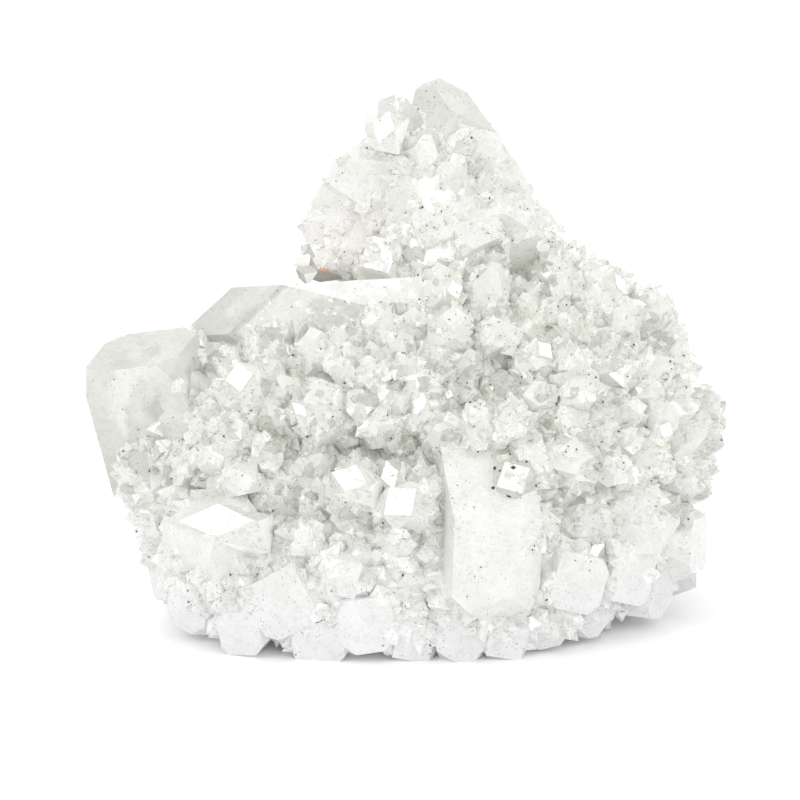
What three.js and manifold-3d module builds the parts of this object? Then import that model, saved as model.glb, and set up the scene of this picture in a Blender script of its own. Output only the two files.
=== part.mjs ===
// An apophyllite specimen: one cluster of crystals that grew into each other on a common mass.
// Millimetres, +Z up, +X to the right as seen from the front, which faces -Y.
// It stands on the flat face where it was parted from the rock. The origin is the middle of its box, at the
// foot.

import * as THREE from "three";
import { mergeVertices } from "three/addons/utils/BufferGeometryUtils.js";
import Module from "manifold-3d";

const wasm = await Module();
wasm.setup();

// Driving dimensions
const PYRAMID_ANGLE = THREE.MathUtils.degToRad(60.5); // of an apophyllite's end faces, from its base plane
const PYRAMID_SPREAD = Math.SQRT2 / Math.tan(PYRAMID_ANGLE); // half width over the corners for each mm down
const BACK_SPACING = 8.5; // between the middles of small crystals at the back, where the growth is coarser
const BACK_FROM = 0.25; // the mass counts as the back where its outward direction has more +Y than this
const LEADER_ROOM = 0.42; // room between a small crystal and a leading one, as a share of both widths
const CLOSEST = 0.86; // how near two of them may come, as a share of the spacing
const DRUSE_WIDTH = [0.84, 1.18]; // least and greatest width of a small crystal, as a share of the spacing
const DRUSE_FLATNESS = [0.78, 1.2]; // its second width over its first
const DRUSE_RISE = [0.45, 0.8]; // how far it stands out of the mass, as a share of its width
const DRUSE_BLUNT = [0, 0.6]; // how much of its point the flat end cuts off
const DRUSE_LEAN = 0.12; // how far its point may stand off its axis, as a share of its width
const DRUSE_TILT = 0.3; // how far its axis may turn aside from straight out of the mass, for 1 along it
const DRUSE_LIFT = [-0.22, 0.34]; // the same up and down, where the crystals tend to point upward
const DRUSE_ROOT = 4.5; // how deep its root lies in the mass
const FOOT_CLEARANCE = 1.2; // least height of its middle over the foot
const GROUND = { side: 400, depth: 200 }; // the block that cuts the foot flat
const SPIRAL_STEPS = 1100; // places tried on each swelling
const SEED = 20;

// The mass that the crystals root in, as swellings: middle, half sizes in X, Y and Z, and the spacing of
// the small crystals on the front of it. low is how far they stand out, as a share of the usual.
const SWELLINGS = [
  // The foot, the base, the right flank, the left flank and the root of the left point
  { middle: [-1.5, -0.6, 8], half: [38, 25.2, 13], spacing: 5.8, low: 0.5 },
  { middle: [0, 0, 13], half: [38.5, 24, 20], spacing: 6.2 },
  { middle: [25, 1, 28], half: [18.6, 18, 17.4], spacing: 5.4 },
  { middle: [-26, -1, 26], half: [15.5, 17, 15], spacing: 5.6 },
  { middle: [-36, -3, 23], half: [9, 10, 11], spacing: 6 },
  // The saddle and what fills the hollow before it, the right shoulder and the peak
  { middle: [2, 4, 39], half: [21, 14.5, 14.5], spacing: 5.6 },
  { middle: [-3, -7, 35], half: [12, 9.6, 10], spacing: 5, low: 0.8 },
  { middle: [25, 5, 42], half: [12.6, 11.4, 9.9], spacing: 5.2 },
  { middle: [3, 8, 58], half: [10.5, 10, 17.5], spacing: 5.2 },
];

// The crystals that stand out, each by the middle of its tip, the way it points, its width across the
// square prism and its length back to the root. blunt is the share of the end pyramid that a flat end
// cuts off, flat is the second width over the first, and twist turns the crystal about its own axis.
const LEADING_CRYSTALS = [
  // The left point and the long crystal that lies behind the front druse
  { tip: [-41.8, -7, 43.8], along: [-0.2, -0.17, 0.96], width: 15.5, length: 21, blunt: 0.8, twist: -12 },
  { tip: [-35, 4, 44], along: [-0.99, 0.08, -0.07], width: 14.5, length: 44, blunt: 0.12, twist: 4 },
  { tip: [-29, -8, 44], along: [-0.15, -0.5, 0.85], width: 7, length: 14, blunt: 0.3, twist: 10 },
  { tip: [-22, -9.5, 46], along: [-0.1, -0.55, 0.82], width: 7.5, length: 15, blunt: 0.45, twist: 34 },
  { tip: [-15, -10.5, 47], along: [0.05, -0.6, 0.8], width: 7, length: 15, blunt: 0.2, twist: 20 },
  // The peak: its crown, the facet beside it, the left spurs and the smooth right side
  { tip: [2.6, 8, 83.6], along: [-0.4, -0.1, 0.91], width: 11, length: 28, blunt: 0.2, twist: 20 },
  { tip: [-4, 4, 80], along: [-0.4, -0.4, 0.82], width: 6.6, length: 16, blunt: 0.72, twist: 38 },
  { tip: [-1, 6, 79.4], along: [-0.1, -0.3, 0.95], width: 5.5, length: 14, blunt: 0.35, twist: 12 },
  { tip: [-10.4, 5, 71.8], along: [-0.66, -0.2, 0.72], width: 9.5, length: 22, blunt: 0.5, twist: 30 },
  { tip: [-15, 6, 66.4], along: [-0.86, -0.1, 0.5], width: 6.2, length: 18, blunt: 0.3, twist: 10 },
  { tip: [-16.6, 4, 61.6], along: [-0.95, -0.22, 0.2], width: 10, length: 22, blunt: 0.25, twist: 40 },
  { tip: [-17.4, 2, 55], along: [-0.88, -0.34, -0.3], width: 6.5, length: 18, blunt: 0.2, twist: 15 },
  { tip: [10.8, 6, 76.6], along: [0.5, -0.3, 0.8], width: 8.5, length: 22, blunt: 0.7, twist: 22 },
  { tip: [15.2, 7, 71], along: [0.7, -0.25, 0.66], width: 9, length: 20, blunt: 0.8, twist: 36 },
  { tip: [16.6, 4, 65.6], along: [0.66, -0.5, 0.58], width: 8.5, length: 20, blunt: 0.75, twist: 12 },
  { tip: [21, 7, 61.8], along: [0.7, -0.3, 0.66], width: 9.5, length: 22, blunt: 0.85, twist: 30 },
  { tip: [25.4, 5, 55.8], along: [0.55, -0.4, 0.74], width: 8.5, length: 20, blunt: 0.7, twist: 8 },
  { tip: [10, -1, 63], along: [0.3, -0.8, 0.5], width: 8, length: 16, blunt: 0.8, twist: 40 },
  { tip: [4, -2, 64], along: [0.1, -0.85, 0.5], width: 8, length: 14, blunt: 0.6, twist: 24 },
  { tip: [-5, -2, 58], along: [-0.3, -0.85, 0.4], width: 9, length: 16, blunt: 0.4, twist: 14 },
  // Below the peak
  { tip: [4.5, -6, 56], along: [0.05, -0.6, 0.8], width: 7.5, length: 16, blunt: 0.25, twist: 8 },
  { tip: [13, -5, 56.6], along: [0.2, -0.5, 0.83], width: 7, length: 16, blunt: 0.15, twist: 33 },
  // The right edge, from the shoulder down to the knob
  { tip: [31.6, 2, 53.8], along: [0.42, -0.35, 0.83], width: 8.5, length: 18, blunt: 0.55, twist: 41 },
  { tip: [40.4, 2, 50.6], along: [0.66, -0.3, 0.68], width: 7.5, length: 18, blunt: 0.3, twist: 12 },
  { tip: [44, 2, 41.4], along: [0.9, -0.2, 0.35], width: 9, length: 20, blunt: 0.6, twist: 28 },
  { tip: [49.6, 0, 30.6], along: [0.97, -0.2, 0.05], width: 8, length: 22, blunt: 0.75, twist: 20 },
  { tip: [47.4, -1, 22], along: [0.93, -0.32, 0.02], width: 9, length: 20, blunt: 0.5, twist: 5 },
  // The broad crystal that lies down the front, and the clear ones round it
  { tip: [13, -29.6, 8.4], along: [0.16, -0.66, -0.73], width: 14, length: 27, blunt: 0.35, twist: 8 },
  { tip: [-8.6, -25, 28.4], along: [-0.1, -0.84, 0.52], width: 9, length: 18, blunt: 0.2, twist: 6 },
  { tip: [0.2, -26.5, 24.6], along: [0.12, -0.92, 0.3], width: 9.5, length: 18, blunt: 0.4, twist: 40 },
  { tip: [18.6, -22, 30], along: [0.25, -0.84, 0.46], width: 7, length: 16, blunt: 0.3, twist: 18 },
  { tip: [5, -21.4, 35], along: [-0.15, -0.78, 0.6], width: 6.4, length: 14, blunt: 0.3, twist: 14 },
  { tip: [10.6, -21, 37], along: [0.05, -0.72, 0.7], width: 6, length: 14, blunt: 0.2, twist: 36 },
  { tip: [15.6, -19.4, 36], along: [0.2, -0.76, 0.62], width: 6.2, length: 14, blunt: 0.45, twist: 24 },
  { tip: [-30.4, -22.5, 22], along: [-0.2, -0.42, 0.88], width: 10.5, length: 18, blunt: 0.8, twist: 42 },
  { tip: [-26.6, -13, 41], along: [-0.2, -0.5, 0.84], width: 9, length: 18, blunt: 0.35, twist: 30 },
  { tip: [-35, -14.5, 35], along: [-0.34, -0.7, 0.62], width: 9, length: 18, blunt: 0.5, twist: 10 },
  { tip: [-14, -18.5, 39], along: [-0.1, -0.7, 0.7], width: 8.5, length: 16, blunt: 0.3, twist: 22 },
  // The blunt crystals round the foot, from the left to the right
  { tip: [-47.6, -4, 28], along: [-0.95, -0.3, 0.05], width: 7, length: 18, blunt: 0.3, twist: 8 },
  { tip: [-44.6, -4, 22], along: [-0.95, -0.3, 0.1], width: 8, length: 18, blunt: 0.4, twist: 12 },
  { tip: [-42.6, -14.6, 26], along: [-0.5, -0.85, 0.15], width: 8.5, length: 18, blunt: 0.5, twist: 25 },
  { tip: [-43, -7, 15.5], along: [-0.93, -0.36, 0.06], width: 8.5, length: 20, blunt: 0.45, twist: 33 },
  { tip: [-39.5, -11, 8.5], along: [-0.84, -0.54, 0.02], width: 8, length: 20, blunt: 0.6, twist: 14 },
  { tip: [-34.5, -18.5, 5.6], along: [-0.62, -0.78, -0.05], width: 8, length: 20, blunt: 0.7, twist: 38 },
  { tip: [-36, -18, 15.4], along: [-0.6, -0.78, 0.12], width: 7.6, length: 18, blunt: 0.5, twist: 22 },
  { tip: [-28.6, -24, 11.4], along: [-0.42, -0.9, 0.1], width: 8.4, length: 20, blunt: 0.8, twist: 10 },
  { tip: [-26, -25.6, 3.6], along: [-0.36, -0.92, -0.1], width: 8, length: 20, blunt: 0.6, twist: 30 },
  { tip: [-19.6, -27.4, 8.8], along: [-0.22, -0.97, 0.02], width: 9.4, length: 20, blunt: 0.82, twist: 18 },
  { tip: [-14, -27.6, 2.6], along: [-0.14, -0.97, -0.14], width: 8.4, length: 20, blunt: 0.65, twist: 42 },
  { tip: [-10.6, -27.4, 13], along: [-0.08, -0.98, 0.12], width: 7.6, length: 18, blunt: 0.5, twist: 28 },
  { tip: [-6.8, -28.6, 5.8], along: [-0.02, -1, -0.04], width: 8.6, length: 20, blunt: 0.75, twist: 8 },
  { tip: [0.4, -28, 2.8], along: [0.04, -0.98, -0.16], width: 7.8, length: 18, blunt: 0.5, twist: 36 },
  { tip: [7.6, -28.4, 3.4], along: [0.06, -0.98, -0.12], width: 8, length: 18, blunt: 0.6, twist: 14 },
  { tip: [14.4, -27.6, 3], along: [0.12, -0.97, -0.14], width: 7.6, length: 18, blunt: 0.5, twist: 40 },
  { tip: [0.2, -27.6, 11.6], along: [0.03, -0.99, 0.08], width: 7.4, length: 18, blunt: 0.35, twist: 16 },
  { tip: [20.6, -24, 4.8], along: [0.26, -0.95, -0.1], width: 8.2, length: 20, blunt: 0.7, twist: 24 },
  { tip: [25.4, -24, 11], along: [0.4, -0.91, 0.04], width: 8.8, length: 20, blunt: 0.8, twist: 6 },
  { tip: [28, -19.6, 5], along: [0.5, -0.86, -0.06], width: 8, length: 20, blunt: 0.6, twist: 34 },
  { tip: [34, -18, 10.6], along: [0.62, -0.78, 0.04], width: 9, length: 22, blunt: 0.85, twist: 20 },
  { tip: [39, -11.6, 6], along: [0.8, -0.6, 0], width: 8.4, length: 20, blunt: 0.7, twist: 40 },
  { tip: [37.5, -16.5, 19], along: [0.62, -0.74, 0.24], width: 10.5, length: 20, blunt: 0.55, twist: 30 },
  { tip: [45.4, -8, 12.6], along: [0.9, -0.42, 0.04], width: 10, length: 22, blunt: 0.6, twist: 12 },
  { tip: [46.4, -1, 9], along: [0.96, -0.2, -0.02], width: 10, length: 22, blunt: 0.7, twist: 28 },
  // The back
  { tip: [-21, 25, 34], along: [-0.4, 0.8, 0.45], width: 13.5, length: 26, blunt: 0.4, twist: 20 },
  { tip: [12, 24.5, 47], along: [0.2, 0.72, 0.67], width: 12.5, length: 26, blunt: 0.55, twist: 35 },
  { tip: [32, 21.5, 22], along: [0.55, 0.82, 0.15], width: 14.5, length: 28, blunt: 0.7, twist: 12 },
  { tip: [-4, 29, 15], along: [-0.1, 0.99, 0.06], width: 13.5, length: 26, blunt: 0.6, twist: 28 },
  { tip: [-36, 17, 14], along: [-0.74, 0.66, 0.1], width: 11.5, length: 24, blunt: 0.5, twist: 5 },
  { tip: [-1, 20, 67], along: [-0.18, 0.76, 0.62], width: 9.5, length: 20, blunt: 0.3, twist: 38 },
];

// A repeatable stream of numbers from 0 to 1.
function numbersFrom(seed) {
  let state = seed;
  return () => {
    state = (state + 0x6d2b79f5) | 0;
    let t = Math.imul(state ^ (state >>> 15), 1 | state);
    t = (t + Math.imul(t ^ (t >>> 7), 61 | t)) ^ t;
    return ((t ^ (t >>> 14)) >>> 0) / 4294967296;
  };
}
const random = numbersFrom(SEED);
const between = (low, high) => low + (high - low) * random();
const aside = (most) => between(-most, most);
const vector = (xyz) => new THREE.Vector3(...xyz);

// A closed geometry as a solid that can be joined and cut.
function solid(geometry) {
  const bare = geometry.index ? geometry.toNonIndexed() : geometry.clone();
  bare.deleteAttribute("normal");
  bare.deleteAttribute("uv");
  const merged = mergeVertices(bare, 1e-4);
  return new wasm.Manifold(
    new wasm.Mesh({
      numProp: 3,
      vertProperties: new Float32Array(merged.attributes.position.array),
      triVerts: new Uint32Array(merged.index.array),
    }),
  );
}

// The matrix that stands a crystal made along +Z with its tip at the origin onto its own tip and axis.
function placing({ tip, along, twist }) {
  const axis = vector(along).normalize();
  const turn = new THREE.Quaternion().setFromUnitVectors(new THREE.Vector3(0, 0, 1), axis);
  const spin = new THREE.Quaternion().setFromEuler(new THREE.Euler(0, 0, THREE.MathUtils.degToRad(twist)));
  return new THREE.Matrix4().compose(vector(tip), turn.multiply(spin), new THREE.Vector3(1, 1, 1));
}

// One apophyllite crystal: a square prism whose end is a steep pyramid set at 45 degrees to it, so that
// each pyramid face sits on an edge of the prism, with the flat basal plane across the point.
function crystal(spec) {
  const { width, length, blunt = 0, flat = 1, lean = [0, 0] } = spec;
  const cut = (blunt * width) / PYRAMID_SPREAD;
  const reach = length + cut;
  const prism = new THREE.BoxGeometry(width, width * flat, length).translate(0, 0, -length / 2);
  const pyramid = new THREE.ConeGeometry(reach * PYRAMID_SPREAD, reach, 4)
    .rotateX(Math.PI / 2)
    .translate(lean[0] * width, lean[1] * width, cut - reach / 2);
  const place = placing(spec);
  return solid(prism).intersect(solid(pyramid)).transform(place.elements);
}

// One swelling of the mass: an ellipsoid with flat chipped faces.
function swelling({ middle, half }) {
  const ball = new THREE.IcosahedronGeometry(1, 2).scale(...half).translate(...middle);
  return solid(ball);
}

// How deep a point lies in a swelling: below 1 inside it, above 1 outside.
function depthIn({ middle, half }, point) {
  return Math.hypot(...[0, 1, 2].map((i) => (point.getComponent(i) - middle[i]) / half[i]));
}

// The distance from a point to the length of a crystal's axis.
function distanceToAxis({ tip, along, length }, point) {
  const root = vector(tip).addScaledVector(vector(along).normalize(), -length);
  const nearest = new THREE.Line3(vector(tip), root).closestPointToPoint(point, true, new THREE.Vector3());
  return nearest.distanceTo(point);
}

// Spreads small crystals over one swelling along a spiral, leaving room for those already there.
function growDruse(place, taken) {
  const grown = [];
  const goldenTurn = Math.PI * (3 - Math.sqrt(5));
  for (let i = 0; i < SPIRAL_STEPS; i += 1) {
    const height = 1 - (2 * (i + 0.5)) / SPIRAL_STEPS;
    const radius = Math.sqrt(1 - height * height);
    const turn = i * goldenTurn;
    const unit = vector([radius * Math.cos(turn), radius * Math.sin(turn), height]);
    const point = unit.clone().multiply(vector(place.half)).add(vector(place.middle));
    const outward = unit.clone().divide(vector(place.half)).normalize();
    const spacing = outward.y > BACK_FROM ? BACK_SPACING : place.spacing;
    const clearOf = (leader) => distanceToAxis(leader, point) > (leader.width + spacing) * LEADER_ROOM;
    const free =
      point.z > FOOT_CLEARANCE &&
      SWELLINGS.every((other) => other === place || depthIn(other, point) > 1) &&
      taken.every((other) => other.distanceTo(point) > spacing * CLOSEST) &&
      LEADING_CRYSTALS.every(clearOf);
    if (!free) continue;
    taken.push(point);
    const width = spacing * between(...DRUSE_WIDTH);
    const rise = width * between(...DRUSE_RISE) * (place.low ?? 1);
    const tilt = vector([aside(DRUSE_TILT), aside(DRUSE_TILT), between(...DRUSE_LIFT)]);
    const along = outward.add(tilt).normalize();
    const tip = point.clone().addScaledVector(along, rise);
    tip.z = Math.max(tip.z, FOOT_CLEARANCE);
    grown.push({
      tip: tip.toArray(),
      along: along.toArray(),
      width,
      length: rise + DRUSE_ROOT,
      blunt: between(...DRUSE_BLUNT),
      flat: between(...DRUSE_FLATNESS),
      lean: [aside(DRUSE_LEAN), aside(DRUSE_LEAN)],
      twist: between(0, 90),
    });
  }
  return grown;
}

// The whole cluster as one solid, cut flat at the foot, with its box centred over the origin.
function cluster() {
  const taken = [];
  const druse = SWELLINGS.flatMap((place) => growDruse(place, taken));
  const pieces = [...SWELLINGS.map(swelling), ...LEADING_CRYSTALS.map(crystal), ...druse.map(crystal)];
  const joined = wasm.Manifold.union(pieces);
  const block = new THREE.BoxGeometry(GROUND.side, GROUND.side, GROUND.depth);
  const ground = solid(block.translate(0, 0, -GROUND.depth / 2));
  // The largest shell is the outside, and the others are hollows that crystals closed between them.
  const standing = joined.subtract(ground).decompose().sort((a, b) => b.volume() - a.volume())[0];
  const { min, max } = standing.boundingBox();
  return standing.translate([-(min[0] + max[0]) / 2, -(min[1] + max[1]) / 2, -min[2]]);
}

function geometryOf(shape) {
  const { vertProperties, triVerts, numProp } = shape.getMesh();
  const geometry = new THREE.BufferGeometry();
  const positions = new THREE.InterleavedBuffer(vertProperties, numProp);
  geometry.setAttribute("position", new THREE.InterleavedBufferAttribute(positions, 3, 0));
  geometry.setIndex(new THREE.BufferAttribute(triVerts, 1));
  return geometry.toNonIndexed();
}

const clusterMaterial = new THREE.MeshStandardMaterial({ color: 0xe6e9e3, roughness: 0.22, metalness: 0 });
const clusterMesh = new THREE.Mesh(geometryOf(cluster()), clusterMaterial);
clusterMesh.name = "apophyllite_cluster";

const specimen = new THREE.Group();
specimen.add(clusterMesh);

export default specimen;
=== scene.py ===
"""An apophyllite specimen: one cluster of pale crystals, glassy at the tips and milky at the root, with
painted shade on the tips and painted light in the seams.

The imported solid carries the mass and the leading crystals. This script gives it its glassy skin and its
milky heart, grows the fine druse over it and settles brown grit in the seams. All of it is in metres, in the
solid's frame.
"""
import math

import bmesh
import bpy
import numpy as np
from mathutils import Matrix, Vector


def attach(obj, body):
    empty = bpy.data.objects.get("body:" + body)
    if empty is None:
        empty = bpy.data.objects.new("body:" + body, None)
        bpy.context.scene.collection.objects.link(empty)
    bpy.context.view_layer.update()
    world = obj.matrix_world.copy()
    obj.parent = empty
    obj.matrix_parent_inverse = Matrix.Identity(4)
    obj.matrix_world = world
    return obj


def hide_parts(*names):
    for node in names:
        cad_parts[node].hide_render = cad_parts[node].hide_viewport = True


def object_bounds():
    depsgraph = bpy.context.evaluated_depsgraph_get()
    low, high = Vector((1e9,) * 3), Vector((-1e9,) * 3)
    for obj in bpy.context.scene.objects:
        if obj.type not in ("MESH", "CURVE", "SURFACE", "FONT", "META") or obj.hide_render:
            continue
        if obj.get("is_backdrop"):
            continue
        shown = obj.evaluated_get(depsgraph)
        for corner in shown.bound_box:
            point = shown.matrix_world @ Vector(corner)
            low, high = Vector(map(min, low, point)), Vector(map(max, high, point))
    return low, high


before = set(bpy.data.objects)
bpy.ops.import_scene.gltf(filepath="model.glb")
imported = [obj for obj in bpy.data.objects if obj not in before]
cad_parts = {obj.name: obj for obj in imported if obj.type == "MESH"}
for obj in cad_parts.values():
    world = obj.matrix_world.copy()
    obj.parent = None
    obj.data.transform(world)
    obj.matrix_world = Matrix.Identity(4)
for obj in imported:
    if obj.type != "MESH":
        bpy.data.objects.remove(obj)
cad_low, cad_high = (np.array(corner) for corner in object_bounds())
MM = 0.001


# The studio. White paper under an even white tent that is brightest overhead, with four small soft lamps
# whose mirror images are the white glints on the crystal faces.
CAMERA_ELEVATION = math.radians(12)
CAMERA_DISTANCE = 352 * MM
CAMERA_LENS = 100.0
CAMERA_AIM = Vector((-1.9, 0, 34.6)) * MM
TENT_BY_HEIGHT = (-0.1, 0.8, 0.95, 1.09)  # from one Z of the direction to another, and the brightness at both
TENT_BY_DEPTH = (-0.9, 0.3, 0.97, 1.0)  # the same by Y, from the camera's side to the far one
FLOOR_SIDE = 24.0  # in metres, so that the paper runs to the horizon
LAMP_SIDE = 88 * MM
LAMPS = {
    # name: place in mm, power in watts
    "key_lamp": ((-330, -300, 420), 0.34),
    "fill_lamp": ((420, -260, 260), 0.21),
    "low_lamp": ((-120, -560, 200), 0.17),
    "back_lamp": ((-213, 273, 500), 0.34),
}


def nodes_of(owner):
    """Empties a material's or a world's node tree and returns it."""
    owner.use_nodes = True
    owner.node_tree.nodes.clear()
    return owner.node_tree


def add(tree, kind, inputs=None, **settings):
    """Adds a node. Settings are the node's own, and inputs are values or sockets by name or number."""
    made = tree.nodes.new(kind)
    for name, value in settings.items():
        setattr(made, name, value)
    for name, value in (inputs or {}).items():
        if isinstance(value, bpy.types.NodeSocket):
            tree.links.new(value, made.inputs[name])
        else:
            made.inputs[name].default_value = value
    return made


def ranged(tree, value, from_low, from_high, to_low=0.0, to_high=1.0):
    """The value carried in a straight line from one range onto another, and held at that one's ends."""
    inputs = {"Value": value, 1: from_low, 2: from_high, 3: to_low, 4: to_high}
    return add(tree, "ShaderNodeMapRange", inputs).outputs[0]


def computed(tree, operation, *values, clamp=False):
    """The result of one operation on one, two or three numbers."""
    inputs = dict(enumerate(values))
    return add(tree, "ShaderNodeMath", inputs, operation=operation, use_clamp=clamp).outputs[0]


def new_object(name, data):
    """Adds an object to the scene, at the origin."""
    made = bpy.data.objects.new(name, data)
    bpy.context.scene.collection.objects.link(made)
    return made


def set_up_world():
    """Brightness by direction: a straight rise with the direction's Z times one with its Y. The camera
    itself sees plain white."""
    world = bpy.data.worlds.new("studio")
    bpy.context.scene.world = world
    tree = nodes_of(world)
    direction = add(tree, "ShaderNodeTexCoord").outputs["Generated"]
    axes = add(tree, "ShaderNodeSeparateXYZ", {"Vector": direction}).outputs
    by_height = ranged(tree, axes["Z"], *TENT_BY_HEIGHT)
    level = computed(tree, "MULTIPLY", by_height, ranged(tree, axes["Y"], *TENT_BY_DEPTH))
    seen = add(tree, "ShaderNodeLightPath").outputs["Is Camera Ray"]
    shown = add(tree, "ShaderNodeMix", {0: seen, 2: level, 3: 1.0}, data_type="FLOAT")
    background = add(tree, "ShaderNodeBackground", {"Color": (1, 1, 1, 1), "Strength": shown.outputs[0]})
    add(tree, "ShaderNodeOutputWorld", {"Surface": background.outputs[0]})


def set_up_studio():
    """The tent, the lamps, the paper, and the camera, which stands back from its aim along one direction."""
    scene = bpy.context.scene
    scene.view_settings.view_transform = "Standard"
    scene.cycles.max_bounces = 14
    scene.cycles.diffuse_bounces = 10
    scene.cycles.glossy_bounces = 6
    scene.cycles.transmission_bounces = 10
    scene.cycles.blur_glossy = 0.0
    scene.cycles.sample_clamp_indirect = 8.0

    set_up_world()
    for name, (place, power) in LAMPS.items():
        lamp = new_object(name, bpy.data.lights.new(name, "AREA"))
        lamp.data.size = LAMP_SIDE
        lamp.data.energy = power
        lamp.location = Vector(place) * MM
        lamp.rotation_euler = (CAMERA_AIM - lamp.location).to_track_quat("-Z", "Y").to_euler()

    corners = np.array([(-1, -1, 0), (1, -1, 0), (1, 1, 0), (-1, 1, 0)]) * FLOOR_SIDE / 2
    floor_mesh = bpy.data.meshes.new("floor")
    floor_mesh.from_pydata(corners.tolist(), [], [(0, 1, 2, 3)])
    paper = bpy.data.materials.new("white paper")
    tree = nodes_of(paper)
    white = {"Base Color": (0.99, 0.99, 0.99, 1), "Roughness": 1.0}
    shader = add(tree, "ShaderNodeBsdfPrincipled", white)
    add(tree, "ShaderNodeOutputMaterial", {"Surface": shader.outputs[0]})
    floor_mesh.materials.append(paper)
    new_object("floor", floor_mesh)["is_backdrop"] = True

    camera = new_object("camera", bpy.data.cameras.new("camera"))
    camera.data.lens = CAMERA_LENS
    back = Vector((0, -math.cos(CAMERA_ELEVATION), math.sin(CAMERA_ELEVATION)))
    camera.location = CAMERA_AIM + back * CAMERA_DISTANCE
    camera.rotation_euler = (-back).to_track_quat("-Z", "Y").to_euler()
    scene.camera = camera


set_up_studio()


# The growth: the mass and its leading crystals, of apophyllite, grown into one glassy body. It is the packed
# solid's own shape with its triangles joined up, so that each face can carry its tone and each corner how
# high it stands.
GROWTH = "apophyllite_cluster"
SEAM_REACH = 0.9  # how strongly a corner that lies in a seam counts as low
SAME_PLACE = 0.002 * MM  # corners nearer than this are one corner
SAME_PLANE = 0.25 * MM  # triangles whose planes are nearer than this belong to one crystal face
NORMAL_STEPS = 60  # steps in a unit normal's length: those in one face round to the same steps
BLUSH_MIDDLE = np.array((-12, 0, 61)) * MM  # the peak's left side, where the crystals are faintly pink
BLUSH_REACH = 10.5 * MM
GROWN_KINDS = (
    # name, transmission, roughness when clear and milky, share of milk in patches
    ("grown crystal", 0.14, (0.04, 0.2), 0.6),
    ("cloudy grown crystal", 0.14, (0.02, 0.1), 0.4),
    ("clear grown crystal", 0.5, (0.02, 0.08), 0.4),
    ("pale grown crystal", 0.35, (0.02, 0.1), 0.5),
)
CLEAR_PLACES = (
    # middle and reach in mm of the parts whose crystals are clearer, and their kind: the crystals in the
    # hollow, the shoulder, the knob, the left point, the long crystal and the crown of the peak
    ((-14, -18, 37), 12, 1),
    ((-6, -24, 27), 10, 1),
    ((40, 2, 50), 8, 1),
    ((48, 0, 30), 8, 1),
    ((-42, -6, 36), 12, 2),
    ((-33, 3, 44), 11, 2),
    ((-18, 3, 46), 12, 2),
    ((3, 9, 80), 9, 3),
)
# The clear colour is darker and the milk paler than the crystal's own: painted shade on the tips and painted
# light in the seams, over the real clear tips and milky roots.
GROWN_CLEAR_AND_TIP_SHADE = (0.9, 0.91, 0.895)
MILK_AND_SEAM_LIGHT = (0.998, 0.998, 0.998)
COOL_TINT = (0.985, 0.98, 0.988, 1)
WARM_TINT = (0.996, 0.993, 0.963, 1)
PINK_TINT = (0.998, 0.978, 0.963, 1)
WARMING = (6 * MM, 30 * MM)  # heights between which the tint goes from cool to warm
PATCH_EDGE = (0.4, 0.62)  # values of the noise between which a milky patch begins and is full
LOW_MILK_AND_LIGHT_EDGE = (0.75, 0.15)  # how high it stands where the milk of the low parts, partly painted light, begins and is full
GROWTH_BLOCKS = (
    # blocks in a metre, and share of the shade
    (750.0, 0.6),
    (2000.0, 0.4),
)
DARKER_BLOCKS = (0.4, 1.0)  # chance from which a block is darker, and at which it is darkest
VEIL_FOLD = 0.32  # where the noise is folded back
VEIL_WIDTH = 0.13  # how far from a fold a dark line ends
DUST_COLOUR = (0.3, 0.23, 0.15, 1)
DUST_DRIFT = (0.44, 0.64, 0.12, 2.6)  # from one value of the noise to another, and the share of dust at both
DUST_SPECKS = (
    # cells in a metre, and radius of a speck in cells
    (900.0, 0.1),
    (2000.0, 0.14),
)
SPECK_EDGE = 1.5  # radius where a speck's soft edge ends over the radius where it begins
APOPHYLLITE_IOR = 1.535
rng = np.random.default_rng(7)


def coordinates(mesh):
    """The mesh's corners as an array of rows."""
    values = np.empty(len(mesh.vertices) * 3)
    mesh.vertices.foreach_get("co", values)
    return values.reshape(-1, 3)


def unit(rows):
    """Each row divided by its length."""
    return rows / np.maximum(np.linalg.norm(rows, axis=1), 1e-12)[:, None]


def write_attribute(mesh, name, values, domain="POINT"):
    """Stores one number for each corner or face, which the materials read by its name."""
    layer = mesh.attributes.new(name, "FLOAT", domain)
    layer.data.foreach_set("value", np.asarray(values, np.float32))


def blush_at(places):
    """How pink a place is: a bell curve of its distance from the middle of the blush."""
    return np.exp(-((places - BLUSH_MIDDLE) ** 2).sum(1) / BLUSH_REACH**2)


def merged_copy(node, name):
    """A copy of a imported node's mesh with its loose triangles joined at their corners."""
    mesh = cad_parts[node].data.copy()
    mesh.name = name
    work = bmesh.new()
    work.from_mesh(mesh)
    bmesh.ops.remove_doubles(work, verts=work.verts, dist=SAME_PLACE)
    bmesh.ops.dissolve_degenerate(work, edges=work.edges, dist=SAME_PLACE)
    bmesh.ops.triangulate(work, faces=work.faces)
    work.to_mesh(mesh)
    work.free()
    mesh.materials.clear()
    carried = [layer for layer in mesh.attributes if not layer.is_internal and not layer.is_required]
    for layer_name in [layer.name for layer in carried]:
        mesh.attributes.remove(mesh.attributes[layer_name])
    mesh.polygons.foreach_set("use_smooth", np.zeros(len(mesh.polygons), bool))
    return mesh


def triangles_of(mesh):
    """Corner numbers, corner places, unit normals and areas of a triangle mesh, as arrays."""
    corners = np.empty(len(mesh.polygons) * 3, int)
    mesh.polygons.foreach_get("vertices", corners)
    corners = corners.reshape(-1, 3)
    places = coordinates(mesh)[corners]
    cross = np.cross(places[:, 1] - places[:, 0], places[:, 2] - places[:, 0])
    return corners, places, unit(cross), np.linalg.norm(cross, axis=1) / 2


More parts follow.
